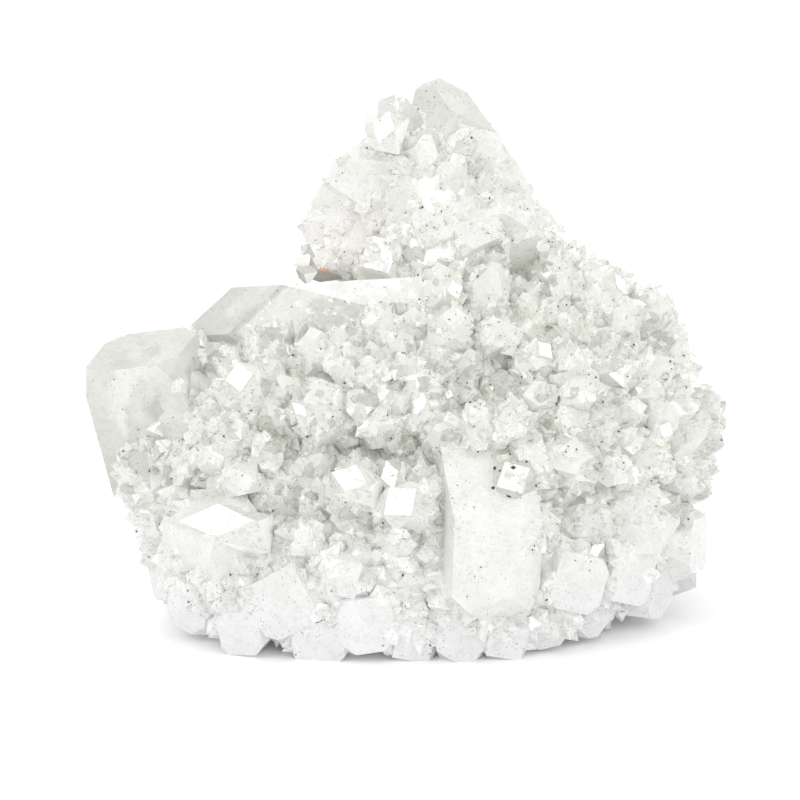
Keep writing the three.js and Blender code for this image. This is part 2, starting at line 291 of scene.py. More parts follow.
def crystal_faces(normals, places, areas):
    """For each triangle, the number of the crystal face that it belongs to, and that face's area. Triangles
    whose normal and distance from the origin round to the same numbers lie in one plane."""
    distance = np.einsum("ij,ij->i", normals, places.mean(1))
    key = np.column_stack([np.round(normals * NORMAL_STEPS), np.round(distance / SAME_PLANE)]).astype(int)
    _, face = np.unique(key, axis=0, return_inverse=True)
    face = face.ravel()
    return face, np.bincount(face, weights=areas)[face]


def standing(mesh, corners, places, normals):
    """How high each corner stands, from 0 in a seam to 1 at a tip. It is the mean over the corner's
    triangles of how far their middles lie behind it, at a tip, or before it, in a seam, along their mean
    normal."""
    flat = corners.ravel()
    mean_normal = np.zeros((len(mesh.vertices), 3))
    np.add.at(mean_normal, flat, np.repeat(normals, 3, axis=0))
    toward = unit(np.repeat(places.mean(1), 3, axis=0) - coordinates(mesh)[flat])
    drop = -np.einsum("ij,ij->i", toward, unit(mean_normal)[flat])
    total = np.bincount(flat, weights=drop, minlength=len(mesh.vertices))
    share = total / np.maximum(np.bincount(flat, minlength=len(mesh.vertices)), 1)
    return np.clip(0.5 + share * SEAM_REACH, 0, 1)


growth_mesh = merged_copy(GROWTH, "crystal_growth")
growth_corners, growth_places, growth_normals, growth_areas = triangles_of(growth_mesh)
face_number, face_area = crystal_faces(growth_normals, growth_places, growth_areas)
write_attribute(growth_mesh, "rise", standing(growth_mesh, growth_corners, growth_places, growth_normals))
write_attribute(growth_mesh, "blush", blush_at(coordinates(growth_mesh)))
write_attribute(growth_mesh, "tone", rng.random(face_number.max() + 1)[face_number], "FACE")
clear_middles, clear_reaches, clear_kinds = (np.array(column) for column in zip(*CLEAR_PLACES))
away = np.linalg.norm(growth_places.mean(1)[:, None] / MM - clear_middles[None], axis=2)
kind_there = ((away < clear_reaches) * clear_kinds).max(1)
growth_mesh.polygons.foreach_set("material_index", kind_there.astype(np.int32))
growth = new_object("crystal_growth", growth_mesh)


def new_group(name, inputs, outputs):
    """A shader node group with float inputs {name: default} and outputs {name: socket type}."""
    group = bpy.data.node_groups.new(name, "ShaderNodeTree")
    for label, default in inputs.items():
        socket = group.interface.new_socket(label, in_out="INPUT", socket_type="NodeSocketFloat")
        socket.default_value = default
    for label, kind in outputs.items():
        group.interface.new_socket(label, in_out="OUTPUT", socket_type=kind)
    return group, add(group, "NodeGroupInput").outputs, add(group, "NodeGroupOutput").inputs


def place_of(tree):
    """The place on the object, in metres."""
    return add(tree, "ShaderNodeTexCoord").outputs["Object"]


def attribute_of(tree, name):
    """The number that the mesh carries under a name."""
    return add(tree, "ShaderNodeAttribute", attribute_name=name).outputs["Fac"]


def noise(tree, scale, detail, **more):
    """Drifting noise with as many swells in a metre as the scale says."""
    inputs = {"Vector": place_of(tree), "Scale": scale, "Detail": detail, **more}
    return add(tree, "ShaderNodeTexNoise", inputs).outputs["Fac"]


def blended(tree, share, one, other, way="MIX"):
    """The colour that lies by the share between two colours, or between the first and their product."""
    inputs = {0: share, 6: one, 7: other}
    return add(tree, "ShaderNodeMix", inputs, data_type="RGBA", blend_type=way).outputs[2]


def milk_and_seam_light_group():
    """Milk and seam light: 1 where the crystal is milky. It is the sum of drifting patches and of how low the
    place stands, each times its share. The low part is partly real milk and partly painted light that lifts
    the shade in the seams."""
    group, given, result = new_group(
        "milk and seam light",
        {"Patch size": 4.0, "Low milk and light share": 0.6, "Patch share": 0.5},
        {"Milk and seam light": "NodeSocketFloat"},
    )
    scale = computed(group, "DIVIDE", 1 / MM, given["Patch size"])
    patch = ranged(group, noise(group, scale, 5.0), *PATCH_EDGE)
    low = ranged(group, attribute_of(group, "rise"), *LOW_MILK_AND_LIGHT_EDGE)
    low_milk_and_light = computed(group, "MULTIPLY", low, given["Low milk and light share"])
    milk_and_seam_light_mask = computed(group, "MULTIPLY_ADD", patch, given["Patch share"], low_milk_and_light, clamp=True)
    group.links.new(milk_and_seam_light_mask, result["Milk and seam light"])
    return group


def tint_group():
    """The tint that multiplies every crystal colour: cool at the foot and warm higher up, pink in the blush,
    and lighter or darker by chance from one crystal face to the next."""
    group, given, result = new_group("stone tint", {"Face contrast": 0.1}, {"Tint": "NodeSocketColor"})
    height = add(group, "ShaderNodeSeparateXYZ", {"Vector": place_of(group)}).outputs["Z"]
    ground = blended(group, ranged(group, height, *WARMING), COOL_TINT, WARM_TINT)
    pink = blended(group, attribute_of(group, "blush"), ground, PINK_TINT)
    darkest = computed(group, "SUBTRACT", 1.0, given["Face contrast"])
    shade = ranged(group, attribute_of(group, "tone"), 0.0, 1.0, darkest, 1.0)
    group.links.new(blended(group, 1.0, pink, shade, "MULTIPLY"), result["Tint"])
    return group


def along(tree, operation, one, other):
    """The outputs of one operation on two vectors."""
    return add(tree, "ShaderNodeVectorMath", {0: one, 1: other}, operation=operation).outputs


def growth_marks_group():
    """Relief of a crystal face in millimetres, and its shade. The relief is a slow swell, plus a mosaic of
    blocks of about 1.3 mm and one of 0.5 mm, each block leaning its own way: its height is the offset from
    its middle along a random direction. The shade goes from 1 down to 1 less its depth, by chance from block
    to block."""
    group, given, result = new_group(
        "growth marks",
        {"Swell": 0.03, "Lean": 0.1, "Depth": 0.05},
        {"Height": "NodeSocketFloat", "Shade": "NodeSocketFloat"},
    )
    place = place_of(group)
    lean = computed(group, "MULTIPLY", given["Lean"], 1 / MM)
    height = computed(group, "MULTIPLY", noise(group, 260.0, 2.0), given["Swell"])
    darkening = 0.0
    for scale, share in GROWTH_BLOCKS:
        blocks = add(group, "ShaderNodeTexVoronoi", {"Vector": place, "Scale": scale}).outputs
        chance = blocks["Color"]
        toward = along(group, "SUBTRACT", chance, (0.5, 0.5, 0.5))["Vector"]
        offset = along(group, "SUBTRACT", place, blocks["Position"])["Vector"]
        rise = along(group, "DOT_PRODUCT", toward, offset)["Value"]
        height = computed(group, "MULTIPLY_ADD", rise, lean, height)
        dark = ranged(group, chance, *DARKER_BLOCKS, 0.0, share)
        darkening = computed(group, "MULTIPLY_ADD", dark, given["Depth"], darkening)
    group.links.new(height, result["Height"])
    group.links.new(computed(group, "SUBTRACT", 1.0, darkening), result["Shade"])
    return group


def veil_group():
    """Veils: fine wisps of liquid-filled pores. The shade goes from 1 down to 1 less the depth where noise,
    folded back and forth, comes near a fold, and so in thin dark lines about 1.3 mm apart."""
    group, given, result = new_group("veils", {"Depth": 0.1}, {"Veil": "NodeSocketFloat"})
    wisps = noise(group, 750.0, 6.0, Roughness=0.6, Distortion=2.0)
    folded = computed(group, "PINGPONG", wisps, VEIL_FOLD)
    darkening = ranged(group, folded, 0.0, VEIL_WIDTH, given["Depth"], 0.0)
    group.links.new(computed(group, "SUBTRACT", 1.0, darkening), result["Veil"])
    return group


def dust_group():
    """Specks of clay on the faces: 1 inside a speck, 0 outside. One cell in a few of a 1.1 mm and of a 0.5 mm
    cell pattern holds a round speck at its middle, more of them where drifting noise is high."""
    group, given, result = new_group("dust", {"Share": 0.15}, {"Dust": "NodeSocketFloat"})
    place = place_of(group)
    drift = ranged(group, noise(group, 140.0, 3.0), *DUST_DRIFT)
    wanted = computed(group, "MULTIPLY", given["Share"], drift)
    total = 0.0
    for scale, radius in DUST_SPECKS:
        cells = add(group, "ShaderNodeTexVoronoi", {"Vector": place, "Scale": scale}).outputs
        chance = add(group, "ShaderNodeSeparateColor", {"Color": cells["Color"]}).outputs["Red"]
        chosen = computed(group, "LESS_THAN", chance, wanted)
        near = ranged(group, cells["Distance"], radius * SPECK_EDGE, radius)
        total = computed(group, "MAXIMUM", total, computed(group, "MULTIPLY", near, chosen))
    group.links.new(total, result["Dust"])
    return group


MILK_AND_SEAM_LIGHT_GROUP = milk_and_seam_light_group()
DUST = dust_group()
VEILS = veil_group()
TINT = tint_group()
MARKS = growth_marks_group()


def place_group(tree, group, values):
    """Puts a node group into a material with its own values, and returns its outputs."""
    made = add(tree, "ShaderNodeGroup", node_tree=group)
    for label, value in values.items():
        made.inputs[label].default_value = value
    return made.outputs


def crystal_material(name, clear, milky, roughness, transmission, marks, milk_and_seam_light_settings, contrast, veils):
    """Apophyllite: darker and sharper where it is clear, paler and duller where it is milky. clear and milky
    are the two colours, and roughness the two roughnesses, that the mask of milk and seam light mixes: the
    darker clear colour on the tips is partly painted shade, the paler milky one in the seams partly painted
    light. The tint, the veils and the blocks' shade multiply the colour."""
    material = bpy.data.materials.new(name)
    tree = nodes_of(material)
    mask = place_group(tree, MILK_AND_SEAM_LIGHT_GROUP, milk_and_seam_light_settings)[0]
    tint = place_group(tree, TINT, {"Face contrast": contrast})[0]
    veil = place_group(tree, VEILS, {"Depth": veils})[0]
    relief, shade = place_group(tree, MARKS, marks)
    colour = blended(tree, mask, (*clear, 1), (*milky, 1))
    for factor in (tint, veil, shade):
        colour = blended(tree, 1.0, colour, factor, "MULTIPLY")
    colour = blended(tree, place_group(tree, DUST, {})[0], colour, DUST_COLOUR)
    bump = add(tree, "ShaderNodeBump", {"Height": relief, "Strength": 1.0, "Distance": MM})
    shader = add(
        tree,
        "ShaderNodeBsdfPrincipled",
        {
            "Base Color": colour,
            "Roughness": ranged(tree, mask, 0.0, 1.0, *roughness),
            "IOR": APOPHYLLITE_IOR,
            "Transmission Weight": transmission,
            "Normal": bump.outputs[0],
        },
    )
    add(tree, "ShaderNodeOutputMaterial", {"Surface": shader.outputs[0]})
    return material


for name, transmission, roughness, patch_share in GROWN_KINDS:
    growth_mesh.materials.append(
        crystal_material(
            name,
            clear=GROWN_CLEAR_AND_TIP_SHADE,
            milky=MILK_AND_SEAM_LIGHT,
            roughness=roughness,
            transmission=transmission,
            marks={"Swell": 0.03, "Lean": 0.05, "Depth": 0.04},
            milk_and_seam_light_settings={"Patch size": 4.0, "Low milk and light share": 0.6, "Patch share": patch_share},
            contrast=0.04,
            veils=0.12,
        )
    )
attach(growth, "root")
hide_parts(GROWTH)


# The milky heart: the veiled crust that the crystals root in, white with fine pores. It fills the mass to
# just under its own surface, so that it shows through the clear crystals as a white depth.
HEART_SHARE = 0.945  # size of the crust over the size of the mass
HEART_STEP = 1.7  # in mm, between the crust's corners
HEART_ROUGHNESS = 0.5  # in mm
HEART_FLOOR = 0.3 * MM
HEART_DRIFT = (0.35, 0.65)  # values of the noise between which it goes from grey to white
HEART_GREY = (0.985, 0.988, 0.975, 1)
HEART_WHITE = (0.998, 0.998, 0.99, 1)
MASS_OFFSET = np.array((-0.18, 0.67, 0))  # in mm, from the middle of the mass to the middle of the box
HEART_SWELLINGS = (
    # middle and half sizes in mm: the foot, the base, the two flanks, the root of the left point, the
    # saddle, the hollow before it, the right shoulder and the peak
    ((-1.5, -0.6, 8), (38, 25.2, 13)),
    ((0, 0, 13), (38.5, 24, 20)),
    ((25, 1, 28), (18.6, 18, 17.4)),
    ((-26, -1, 26), (15.5, 17, 15)),
    ((-36, -3, 23), (9, 10, 11)),
    ((2, 4, 39), (21, 14.5, 14.5)),
    ((-3, -7, 35), (12, 9.6, 10)),
    ((25, 5, 42), (12.6, 11.4, 9.9)),
    ((3, 8, 58), (10.5, 10, 17.5)),
)


def crust(middle, half):
    """One swelling of the crust, as corners and faces: an ellipsoid over latitude and longitude, every other
    row turned by half a column, with each corner moved out or in by a random amount, a single corner at each
    pole, and none below the floor."""
    half = np.array(half) * HEART_SHARE
    rows = round(math.pi * half.mean() / HEART_STEP)
    columns = 2 * rows
    latitude = (np.arange(1, rows) * math.pi / rows)[:, None]
    half_column = math.pi / columns
    longitude = np.arange(columns) * 2 * half_column + (np.arange(1, rows) % 2)[:, None] * half_column
    across = np.sin(latitude)
    rings = [across * np.cos(longitude), across * np.sin(longitude), np.cos(latitude) + 0 * longitude]
    ring = np.stack(rings, axis=2).reshape(-1, 3)
    directions = np.vstack([ring, (0, 0, 1), (0, 0, -1)])
    bumps = rng.uniform(-HEART_ROUGHNESS, HEART_ROUGHNESS, len(directions))
    corners = (directions * (half + bumps[:, None]) + np.array(middle) + MASS_OFFSET) * MM
    corners[:, 2] = np.maximum(corners[:, 2], HEART_FLOOR)

    first = np.arange((rows - 2) * columns).reshape(rows - 2, columns)
    following = np.roll(first, -1, axis=1)
    quads = np.stack([first, first + columns, following + columns, following], axis=2).reshape(-1, 4)
    top, bottom = len(corners) - 2, len(corners) - 1
    one = np.arange(columns)
    other = np.roll(one, -1)
    last = (rows - 2) * columns
    caps = np.vstack(
        [
            np.column_stack([np.full(columns, top), one, other]),
            np.column_stack([np.full(columns, bottom), last + other, last + one]),
        ]
    )
    return corners, quads, caps


def heart_material():
    """Dense white veils with drifts that are a little greyer and greener."""
    material = bpy.data.materials.new("milky heart")
    tree = nodes_of(material)
    drift = ranged(tree, noise(tree, 120.0, 6.0), *HEART_DRIFT)
    colour = blended(tree, drift, HEART_GREY, HEART_WHITE)
    shader = add(tree, "ShaderNodeBsdfPrincipled", {"Base Color": colour, "Roughness": 0.5, "IOR": 1.3})
    add(tree, "ShaderNodeOutputMaterial", {"Surface": shader.outputs[0]})
    return material


def milky_heart():
    """All swellings of the crust in one mesh."""
    pieces = [crust(middle, half) for middle, half in HEART_SWELLINGS]
    starts = np.cumsum([0] + [len(corners) for corners, _, _ in pieces[:-1]])
    faces = []
    for start, (_, quads, caps) in zip(starts, pieces):
        faces += (quads + start).tolist() + (caps + start).tolist()
    mesh = bpy.data.meshes.new("milky_heart")
    mesh.from_pydata(np.vstack([corners for corners, _, _ in pieces]).tolist(), [], faces)
    mesh.materials.append(heart_material())
    return new_object("milky_heart", mesh)


heart = milky_heart()
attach(heart, "root")


# The druse: the last growth, a few thousand small crystals that stand on the mass wherever it isn't a
# clean leading face. Each is a square prism with its point set at 45 degrees, glassy at the tip and milky at
# its root, and the ones that had room between two leading crystals are the biggest. The tips' darker colour
# is partly painted shade, and the roots' paler colour partly painted light in the seams.
DRUSE_CELL = 2.3 * MM  # one small crystal in each cube of this side
DRUSE_HALF_WIDTH = (1.25, 2.2)  # in mm, on a ridge and in a hollow
CALM_PLACES = (
    # middle and reach in mm of the parts where the druse is a fine, low crust: the peak's right side
    ((11, -4, 64), 13),
    ((9, -8, 50), 8),
)
CALM_SIZE = 0.5
OVERGROWN_FACE = 14.0  # in mm2: a smaller face is wholly overgrown
CLEAN_FACE = (55.0, 110.0)  # in mm2: a larger face is clean, at the foot and above it
FOOT_HEIGHTS = (13 * MM, 20 * MM)  # the foot ends between them, and its druse is coarser and milkier
FOOT_COARSENESS = 1.35
PEAK_HEIGHTS = (56 * MM, 64 * MM)  # the peak begins between them, and its ridges are free of druse
CLEAR_CLEAN_FACE = 18.0  # in mm2: a larger face of the clear leading crystals and of the crown is clean
CLEAR_KINDS_FROM = 2  # the number of the first of their kinds
CLEAR_MIDDLE = np.array((-8, -20, 33)) * MM  # the front hollow, where most of the druse is clear
CLEAR_REACH = 17 * MM
POINT_STEEPNESS = 0.8  # half diagonal of the point for each mm below its apex
SEEDS_TRIED = 60000
FREE_BELOW = (0.01, 0.98)  # a seed is free where the cleanness is below a chance value between these
OVERHANG = -0.55  # a surface whose normal has less Z than this bears no druse
LOWEST_SEED = 1.2 * MM
SURROUNDINGS = 3.2 * MM  # reach of what counts as a seed's surroundings
RIDGE_HEIGHTS = (-1.1, -2.4, -2.4, -1.1)  # in mm below the surroundings: a seed above this is on a ridge
RIDGE_SCATTER = 0.6  # in mm
ROOM_BELOW = (-0.8, 1.6)  # in mm below the surroundings, where a crystal has no room and where it has most
OWN_LEAN = 0.3  # how much of its axis a crystal takes from the surface right under it
AXIS_SCATTER = 0.3
WIDTH_SCATTER = (0.6, 1.15)
SUNK_SHARE = 1.3  # depth of the root over the half width
STANDING_SHARE = (0.5, 1.2)  # how far a crystal stands out on a ridge over its half width
LEAST_PRISM = 0.05 * MM
ASPECT = (0.85, 1.15)
BLUNT_CHANCE = 0.3
BLUNTNESS = (0.25, 0.6)  # width of a flat end over the width of the crystal
SHARP_BLUNTNESS = 0.04  # the same for a crystal with a sharp point
CLEARER_IN_HOLLOW = 0.22  # how much likelier a clear kind is in the hollow
MILKIER_AT_FOOT = 0.3
MILKIER_ON_PEAK = 0.25
CLOUDY_FROM, MILKY_FROM = 0.1, 0.6  # chance from which a crystal is cloudy, and from which it is milky
# Darker than the glass's own colour: on the druse's tips it is partly painted shade.
DRUSE_CLEAR_AND_TIP_SHADE = (0.89, 0.9, 0.875)
DRUSE_PATCH = 2.5  # in mm
DRUSE_KINDS = (
    # name, transmission, roughness when clear and milky, share of milk and painted seam light at the root and
    # of milk in patches
    ("clear druse", 0.4, (0.02, 0.08), 0.9, 0.2),
    ("cloudy druse", 0.14, (0.03, 0.12), 0.9, 0.35),
    ("milky druse", 0.05, (0.05, 0.25), 0.9, 0.5),
)

SQUARE = np.array([(1, 1), (-1, 1), (-1, -1), (1, -1)], float)
DIAMOND = np.array([(0, 1), (-1, 0), (0, -1), (1, 0)], float)
PRISM_FACES = np.array([(i, (i + 1) % 4, 4 + (i + 1) % 4, 8 + i, 4 + i) for i in range(4)])
POINT_FACES = np.array([(4 + i, 8 + i, 12 + i, 12 + (i - 1) % 4, 8 + (i - 1) % 4) for i in range(4)])
END_FACES = np.array([(3, 2, 1, 0), (12, 13, 14, 15)])
CRYSTAL_CORNERS = 16
RING_RISES = (0.0, 0.5, 0.75, 1.0)  # how high the four rings of corners stand


def frames_along(axes, spins):
    """For each axis, two unit directions at right angles to it and to each other, turned by the spin."""
    helper = np.where(np.abs(axes[:, 2:3]) < 0.9, (0, 0, 1), (1, 0, 0))
    side = unit(np.cross(helper, axes))
    other = np.cross(axes, side)
    cos, sin = np.cos(spins)[:, None], np.sin(spins)[:, None]
    return side * cos + other * sin, other * cos - side * sin


def pointed_prisms(roots, axes, spins, half_widths, heights, blunts):
    """Crystals as one array of corners, 16 for each. A square section is carried up the axis to where the
    point's edges begin, then a diamond to half its width higher, then a small diamond at the cut tip: the
    section at any height is the square |x|, |y| <= a cut by the diamond |x| + |y| <= s (H - z)."""
    stretch = half_widths[:, None, :]
    local = np.zeros((len(roots), CRYSTAL_CORNERS, 3))
    local[:, 0:4, :2] = SQUARE * stretch
    local[:, 4:8, :2] = SQUARE * stretch
    local[:, 8:12, :2] = DIAMOND * stretch
    local[:, 12:16, :2] = DIAMOND * stretch * blunts[:, None, None]
    reach = half_widths.mean(1) / POINT_STEEPNESS
    local[:, 4:8, 2] = (heights - 2 * reach)[:, None]
    local[:, 8:12, 2] = (heights - reach)[:, None]
    local[:, 12:16, 2] = (heights - blunts * reach)[:, None]
    side, other = frames_along(axes, spins)
    turn = np.stack([side, other, axes], axis=1)
    return roots[:, None] + np.einsum("nvi,nij->nvj", local, turn)


def repeated_faces(template, count, corners_each):
    """A face template repeated for each copy of a piece, as lists of corner numbers."""
    shift = np.arange(count)[:, None, None] * corners_each
    return (template[None] + shift).reshape(-1, template.shape[1]).tolist()


def prism_mesh(name, corners):
    """A mesh of crystals from their corners, with the attributes that the crystal materials read."""
    count = len(corners)
    mesh = bpy.data.meshes.new(name)
    templates = (PRISM_FACES, POINT_FACES, END_FACES)
    faces = sum((repeated_faces(template, count, CRYSTAL_CORNERS) for template in templates), [])
    mesh.from_pydata(corners.reshape(-1, 3).tolist(), [], faces)
    write_attribute(mesh, "rise", np.tile(np.repeat(RING_RISES, 4), count))
    write_attribute(mesh, "blush", blush_at(corners.reshape(-1, 3)))
    write_attribute(mesh, "tone", rng.random(len(mesh.polygons)), "FACE")
    return mesh


def fits_the_box(corners):
    """Which copies lie wholly inside the solid's box."""
    return ((corners > cad_low) & (corners < cad_high)).all(axis=(1, 2))


def points_on_growth(count):
    """Points spread evenly over the growth's surface, and the triangle that each lies on."""
    chosen = rng.choice(len(growth_areas), count, p=growth_areas / growth_areas.sum())
    u, v = rng.random((2, count, 1))
    flip = u + v > 1
    u, v = np.where(flip, 1 - u, u), np.where(flip, 1 - v, v)
    a, b, c = growth_places[chosen].transpose(1, 0, 2)
    return a + (b - a) * u + (c - a) * v, chosen


def around(points, reach):
    """The surface around each point with the crystals on it averaged away: its direction, and how far the
    point lies below it. Both are means over the growth's triangles, weighted by their area and by a bell
    curve of the distance."""
    middles = growth_places.mean(1)
    squares = (points**2).sum(1)[:, None] + (middles**2).sum(1)[None] - 2 * points @ middles.T
    weight = np.exp(-squares / (2 * reach**2)) * growth_areas[None]
    outward = unit(weight @ growth_normals)
    mean_place = weight @ middles / weight.sum(1)[:, None]
    return outward, np.einsum("ij,ij->i", mean_place - points, outward)


def druse_seeds():
    """Where the small crystals root: one in each small cube of space that the surface crosses, none on
    clean faces, under overhangs or on the ridges. Also the outward direction there, the surface's own normal
    and how far the seed lies below its surroundings."""
    seeds, on = points_on_growth(SEEDS_TRIED)
    clean_from = np.interp(seeds[:, 2], FOOT_HEIGHTS, CLEAN_FACE)
    clean_from[kind_there[on] >= CLEAR_KINDS_FROM] = CLEAR_CLEAN_FACE
    cleanness = np.clip((face_area[on] / MM**2 - OVERGROWN_FACE) / (clean_from - OVERGROWN_FACE), 0, 1)
    free = cleanness < rng.uniform(*FREE_BELOW, len(seeds))
    free &= (growth_normals[on, 2] > OVERHANG) & (seeds[:, 2] > LOWEST_SEED)
    seeds, on = seeds[free], on[free]
    _, first = np.unique(np.floor(seeds / DRUSE_CELL).astype(int), axis=0, return_index=True)
    seeds, on = seeds[first], on[first]
    outward, below = around(seeds, SURROUNDINGS)
    lowest = np.interp(seeds[:, 2], (*FOOT_HEIGHTS, *PEAK_HEIGHTS), RIDGE_HEIGHTS)
    stays = below > (lowest + rng.uniform(-RIDGE_SCATTER, RIDGE_SCATTER, len(seeds))) * MM
    return seeds[stays], outward[stays], growth_normals[on[stays]], below[stays]


def calmness(places):
    """From 0 to 1, how fine and low the druse is: the highest of the bell curves of the calm places."""
    curves = [np.exp(-((places / MM - middle) ** 2).sum(1) / reach**2) for middle, reach in CALM_PLACES]
    return np.max(curves, axis=0)


SINGLED_OUT = (
    # middle of the flat end in mm, the way it faces, half widths in mm, turn in degrees and kind: blunt
    # crystals of the druse that stand clear of the others, from the peak down to the foot
    ((-4.4, 0.8, 77.7), (-0.322, -0.862, 0.392), (2.9, 2.0), 80, 1),
    ((32.8, 1.0, 53.0), (0.381, -0.866, 0.325), (0.9, 2.2), 20, 1),
    ((6.6, -6.0, 53.3), (0.436, -0.843, 0.316), (1.5, 1.7), 10, 1),
    ((20.3, -11.2, 44.8), (0.407, -0.845, 0.347), (1.4, 1.9), 35, 1),
    ((-26.3, -13.8, 41.1), (-0.261, -0.833, 0.487), (2.4, 2.6), 15, 1),
    ((-17.0, -18.5, 37.1), (-0.282, -0.823, 0.494), (0.9, 1.8), 55, 1),
    ((38.7, -14.0, 32.9), (0.367, -0.846, 0.388), (1.6, 1.3), 60, 1),
    ((-29.2, -25.0, 21.6), (-0.249, -0.807, 0.536), (6.4, 2.9), 5, 1),
    ((-9.3, -25.4, 28.2), (-0.297, -0.806, 0.513), (2.3, 3.4), 78, 1),
    ((-3.4, -25.0, 28.6), (-0.310, -0.803, 0.510), (1.6, 2.6), 25, 0),
    ((15.0, -22.6, 27.6), (-0.142, -0.952, 0.271), (3.2, 3.0), 30, 0),
    ((-1.9, -27.0, 25.0), (-0.104, -0.954, 0.281), (3.4, 2.9), 40, 1),
    ((17.7, -25.0, 5.7), (-0.147, -0.936, 0.319), (1.2, 1.9), 85, 1),
)
SINGLE_BLUNTNESS = 0.9
SINGLE_ROOT = 1.0 * MM
SINGLE_ROOM = 1.15  # room round such a crystal that the others leave, over its half width


def singled_out():
    """The corners, kinds, middles and reaches of the crystals of the table. Each is grown back from the
    middle of its flat end, far enough for its whole point and a short prism."""
    middles, faces, halves, turns, kinds = (np.array(column, float) for column in zip(*SINGLED_OUT))
    middles, halves, axes = middles * MM, halves * MM, unit(faces)
    reach = halves.mean(1) / POINT_STEEPNESS
    heights = 2 * reach + SINGLE_ROOT
    roots = middles - axes * (heights - SINGLE_BLUNTNESS * reach)[:, None]
    blunts = np.full(len(roots), SINGLE_BLUNTNESS)
    corners = pointed_prisms(roots, axes, np.radians(turns), halves, heights, blunts)
    return corners, kinds.astype(int), middles, halves.max(1)


single_corners, single_kinds, single_middles, single_reaches = singled_out()
seeds, outward, own_normal, below = druse_seeds()
apart = np.linalg.norm(seeds[:, None] - single_middles[None], axis=2) > single_reaches * SINGLE_ROOM
clear_of_them = apart.all(1)
seeds, outward, own_normal, below = (rows[clear_of_them] for rows in (seeds, outward, own_normal, below))
room = np.interp(below / MM, ROOM_BELOW, (0, 1))
footness = np.interp(seeds[:, 2], FOOT_HEIGHTS, (1, 0))
size = (1 - (1 - CALM_SIZE) * calmness(seeds)) * (1 + (FOOT_COARSENESS - 1) * footness)
half_width = np.interp(room, (0, 1), DRUSE_HALF_WIDTH) * rng.uniform(*WIDTH_SCATTER, len(seeds)) * size * MM
axis = unit(outward + OWN_LEAN * own_normal + rng.normal(0, AXIS_SCATTER, (len(seeds), 3)))
sunk = half_width * SUNK_SHARE
height = sunk + half_width * rng.uniform(*STANDING_SHARE, len(seeds)) + np.clip(below, 0, None) * size
height = np.maximum(height, 2 * half_width / POINT_STEEPNESS + LEAST_PRISM)
aspect = rng.uniform(*ASPECT, len(seeds))
druse_corners = pointed_prisms(
    seeds - axis * sunk[:, None],
    axis,
    rng.uniform(0, 2 * math.pi, len(seeds)),
    np.stack([half_width * aspect, half_width / aspect], 1),
    height,
    np.where(rng.random(len(seeds)) < BLUNT_CHANCE, rng.uniform(*BLUNTNESS, len(seeds)), SHARP_BLUNTNESS),
)
inside = fits_the_box(druse_corners)
druse_corners, seeds, axis = druse_corners[inside], seeds[inside], axis[inside]
half_width, footness, above = half_width[inside], footness[inside], (height - sunk)[inside]

druse_mesh = prism_mesh("druse", np.concatenate([druse_corners, single_corners]))
nearness = np.exp(-((seeds - CLEAR_MIDDLE) ** 2).sum(1) / CLEAR_REACH**2)
milkiness = MILKIER_AT_FOOT * footness + np.interp(seeds[:, 2], PEAK_HEIGHTS, (0, MILKIER_ON_PEAK))
chance = rng.random(len(seeds)) - CLEARER_IN_HOLLOW * nearness + milkiness
kind = np.concatenate([(chance > CLOUDY_FROM).astype(int) + (chance > MILKY_FROM), single_kinds])
# A crystal's sides and its hidden end are its milky root, its paler colour partly painted light in the seams,
# and its point and its flat end are of its kind.
root = np.full_like(kind, len(DRUSE_KINDS))
kinds_of_faces = [
    np.repeat(root, len(PRISM_FACES)),
    np.repeat(kind, len(POINT_FACES)),
    np.stack([root, kind], 1).ravel(),
]
druse_mesh.polygons.foreach_set("material_index", np.concatenate(kinds_of_faces).astype(np.int32))
for name, transmission, roughness, low_milk_and_light_share, patch_share in DRUSE_KINDS:
    druse_mesh.materials.append(
        crystal_material(
            name,
            clear=DRUSE_CLEAR_AND_TIP_SHADE,
            milky=MILK_AND_SEAM_LIGHT,
            roughness=roughness,
            transmission=transmission,
            marks={"Swell": 0.03, "Lean": 0.05, "Depth": 0.05},
            milk_and_seam_light_settings={"Patch size": DRUSE_PATCH, "Low milk and light share": low_milk_and_light_share, "Patch share": patch_share},
            contrast=0.04,
            veils=0.25,
        )
    )
# The root's pale milk is partly painted light that lifts the shade between the crystals.
druse_mesh.materials.append(
    crystal_material(
        "druse root and seam light",
        clear=MILK_AND_SEAM_LIGHT,
        milky=MILK_AND_SEAM_LIGHT,
        roughness=(0.3, 0.3),
        transmission=0.0,
        marks={"Swell": 0.03, "Lean": 0.05, "Depth": 0.02},
        milk_and_seam_light_settings={"Patch size": DRUSE_PATCH, "Low milk and light share": 0.5, "Patch share": 0.5},
        contrast=0.0,
        veils=0.02,
    )
)
druse = new_object("druse", druse_mesh)
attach(druse, "root")


# Grit: grains and threads of brown-black clay that lodged in the seams around the small crystals, and one
# grain of rust. They stick to the crystals' lower sides, where no cleaning reaches. A ring of dark grains
# round one clear crystal is a painted reflection: the crystal refracts them as its dark facets.
GRAINS = 1300
THREADS = 420
GRAIN_RADIUS = (0.07, 0.2)  # in mm
THREAD_LENGTH = (0.3, 0.9)  # in mm, half of it
THREAD_RADIUS = 0.05  # in mm
GRAIN_STRETCH = (0.9, 1.6)  # length of a grain over its width
GRIT_LIFT = 0.55  # highest place of a grain over the height of its crystal
GRIT_DEPTH = (0.76, 0.98)  # how far from the crystal's axis it sits over the crystal's half width there
DARK_REFRACTION_MIDDLE = np.array((15.0, -22.0, 27.0)) * MM  # coarse dark grains round the foot of one clear crystal, a painted reflection that it refracts as dark facets
DARK_REFRACTION_GRAINS = 9
DARK_REFRACTION_REACH = (1.6, 3.6)  # in mm
DARK_REFRACTION_RADIUS = (0.15, 0.5)  # in mm
